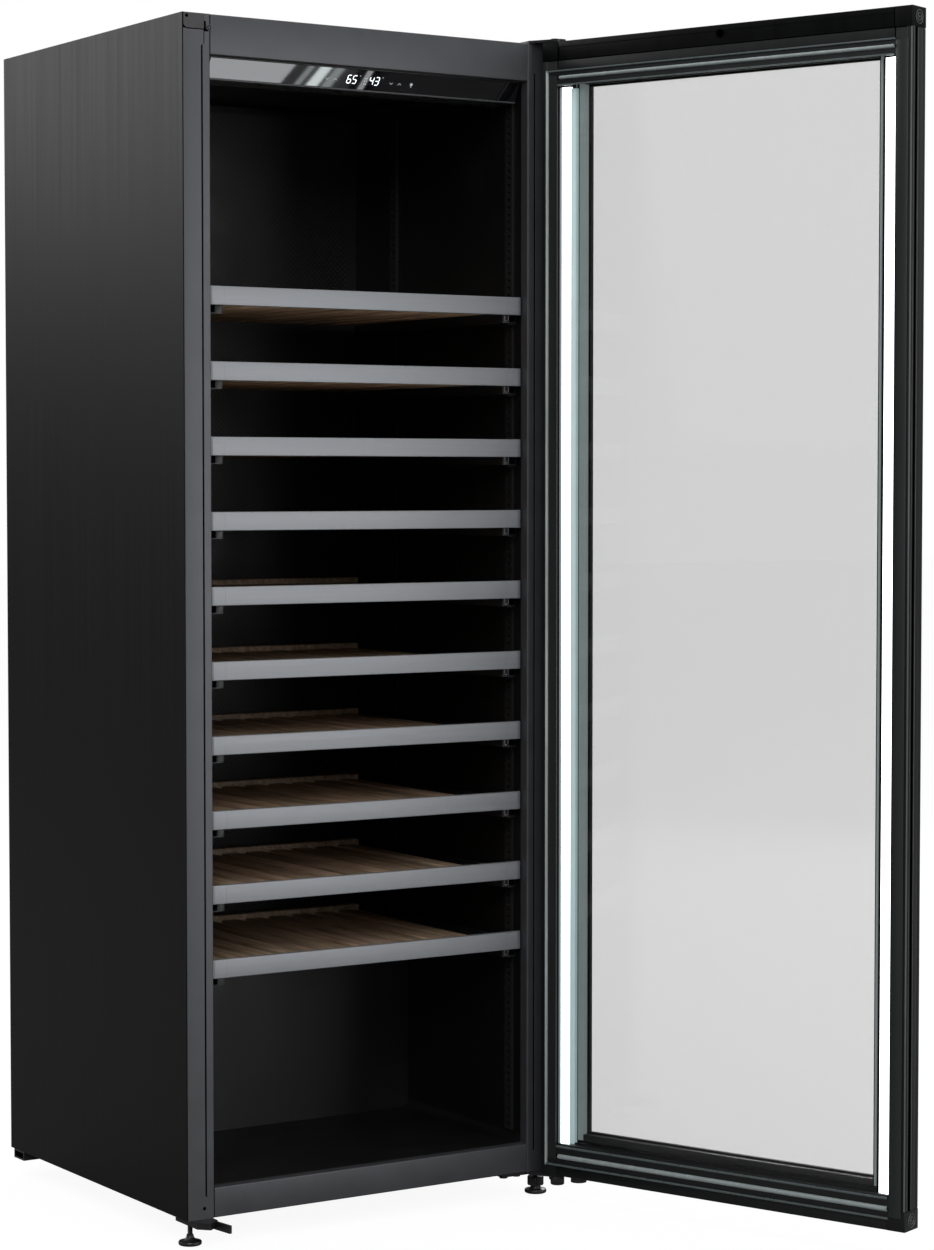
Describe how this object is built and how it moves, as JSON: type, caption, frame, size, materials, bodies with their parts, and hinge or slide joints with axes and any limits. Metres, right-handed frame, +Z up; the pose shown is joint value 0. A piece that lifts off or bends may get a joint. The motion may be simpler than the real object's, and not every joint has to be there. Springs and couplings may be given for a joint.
{
  "type": "wine cooler",
  "caption": "Tall free-standing wine cooler with a hinged glass door, pull-out wooden shelves, a sloping touch control strip and a rear machine bay.",
  "frame": {"origin": "on the floor under the middle of the cabinet", "axes": "+Z up, +Y towards the back, +X to the right as seen from the front"},
  "size_m": [0.8857, 1.2549, 1.83],
  "materials": {
    "side_paint": "satin charcoal",
    "back_paint": "satin black",
    "front_paint": "metallic charcoal",
    "galvanised": "galvanised",
    "liner_black": "satin black",
    "foam": "open foam",
    "duct_black": "satin black",
    "coil_metal": "mill",
    "standard_black": "satin black",
    "rail_steel": "zinc plated",
    "control_black": "semi-gloss",
    "control_glass": "black gloss",
    "hinge_steel": "zinc plated",
    "pin_steel": "turned",
    "cover_plastic": "satin",
    "foot_black": "matt",
    "compressor_paint": "gloss black",
    "fan_black": "matt",
    "tray_plastic": "matt",
    "inlet_black": "matt",
    "screw_steel": "dark zinc",
    "door_metal": "black anodised",
    "door_glass": "clear, faintly grey",
    "spacer_black": "black",
    "gasket_rubber": "matt",
    "light_white": "lit diffuser",
    "cap_plastic": "satin",
    "bush_plastic": "matt",
    "shelf_metal": "satin anodised",
    "shelf_wood": "oiled beech"
  },
  "bodies": {
    "cabinet": {"side_panel_left": "side_paint", "side_panel_right": "side_paint", "top_panel": "side_paint", "back_panel": "back_paint", "base_pan": "galvanised", "stiles": "front_paint", "header": "front_paint", "sill": "front_paint", "liner": "liner_black", "foam_insulation": "foam", "air_duct_panel": "duct_black", "evaporator": "coil_metal", "shelf_standards": "standard_black", "shelf_rails": "rail_steel", "control_housing": "control_black", "control_glass": "control_glass", "hinge_plate_top": "hinge_steel", "hinge_plate_bottom": "hinge_steel", "hinge_pins": "pin_steel", "hinge_cover_plate": "cover_plastic", "front_bracket_left": "hinge_steel", "rear_supports": "foot_black", "machine_bay_cover": "back_paint", "compressor": "compressor_paint", "condenser": "coil_metal", "fan_frames": "fan_black", "drip_tray": "tray_plastic", "power_inlet": "inlet_black", "cabinet_screws": "screw_steel"},
    "foot_left": {"foot_left": "foot_black"},
    "foot_right": {"foot_right": "foot_black"},
    "circulation_fan": {"circulation_fan": "fan_black"},
    "condenser_fan": {"condenser_fan": "fan_black"},
    "door": {"door_frame": "door_metal", "glass_panes": "door_glass", "glass_spacer": "spacer_black", "door_gasket": "gasket_rubber", "door_lights": "light_white", "door_corner_caps": "cap_plastic", "door_bushes": "bush_plastic"},
    "shelf_01": {"shelf_01_frame": "shelf_metal", "shelf_01_slats": "shelf_wood"},
    "shelf_02": {"shelf_02_frame": "shelf_metal", "shelf_02_slats": "shelf_wood"},
    "shelf_03": {"shelf_03_frame": "shelf_metal", "shelf_03_slats": "shelf_wood"},
    "shelf_04": {"shelf_04_frame": "shelf_metal", "shelf_04_slats": "shelf_wood"},
    "shelf_05": {"shelf_05_frame": "shelf_metal", "shelf_05_slats": "shelf_wood"},
    "shelf_06": {"shelf_06_frame": "shelf_metal", "shelf_06_slats": "shelf_wood"},
    "shelf_07": {"shelf_07_frame": "shelf_metal", "shelf_07_slats": "shelf_wood"},
    "shelf_08": {"shelf_08_frame": "shelf_metal", "shelf_08_slats": "shelf_wood"},
    "shelf_09": {"shelf_09_frame": "shelf_metal", "shelf_09_slats": "shelf_wood"},
    "shelf_10": {"shelf_10_frame": "shelf_metal", "shelf_10_slats": "shelf_wood"}
  },
  "joints": [
    {"name": "door_hinge", "type": "hinge", "parent": "cabinet", "child": "door", "pos_m": [0.31625, -0.3335, 0.9], "axis": [0, 0, 1], "range_deg": [-110, 10]},
    {"name": "shelf_01_slide", "type": "slide", "parent": "cabinet", "child": "shelf_01", "axis": [0, -1, 0], "range_m": [0, 0.34]},
    {"name": "shelf_02_slide", "type": "slide", "parent": "cabinet", "child": "shelf_02", "axis": [0, -1, 0], "range_m": [0, 0.34]},
    {"name": "shelf_03_slide", "type": "slide", "parent": "cabinet", "child": "shelf_03", "axis": [0, -1, 0], "range_m": [0, 0.34]},
    {"name": "shelf_04_slide", "type": "slide", "parent": "cabinet", "child": "shelf_04", "axis": [0, -1, 0], "range_m": [0, 0.34]},
    {"name": "shelf_05_slide", "type": "slide", "parent": "cabinet", "child": "shelf_05", "axis": [0, -1, 0], "range_m": [0, 0.34]},
    {"name": "shelf_06_slide", "type": "slide", "parent": "cabinet", "child": "shelf_06", "axis": [0, -1, 0], "range_m": [0, 0.34]},
    {"name": "shelf_07_slide", "type": "slide", "parent": "cabinet", "child": "shelf_07", "axis": [0, -1, 0], "range_m": [0, 0.34]},
    {"name": "shelf_08_slide", "type": "slide", "parent": "cabinet", "child": "shelf_08", "axis": [0, -1, 0], "range_m": [0, 0.34]},
    {"name": "shelf_09_slide", "type": "slide", "parent": "cabinet", "child": "shelf_09", "axis": [0, -1, 0], "range_m": [0, 0.34]},
    {"name": "shelf_10_slide", "type": "slide", "parent": "cabinet", "child": "shelf_10", "axis": [0, -1, 0], "range_m": [0, 0.34]},
    {"name": "foot_left_thread", "type": "hinge", "parent": "cabinet", "child": "foot_left", "pos_m": [-0.312, -0.289, 0.02], "axis": [0, 0, 1], "continuous": true},
    {"name": "foot_right_thread", "type": "hinge", "parent": "cabinet", "child": "foot_right", "pos_m": [0.312, -0.289, 0.02], "axis": [0, 0, 1], "continuous": true},
    {"name": "circulation_fan_spin", "type": "hinge", "parent": "cabinet", "child": "circulation_fan", "pos_m": [0, 0.236, 1.45], "axis": [0, 1, 0], "continuous": true},
    {"name": "condenser_fan_spin", "type": "hinge", "parent": "cabinet", "child": "condenser_fan", "pos_m": [-0.05, 0.2, 0.13], "axis": [1, 0, 0], "continuous": true}
  ]
}
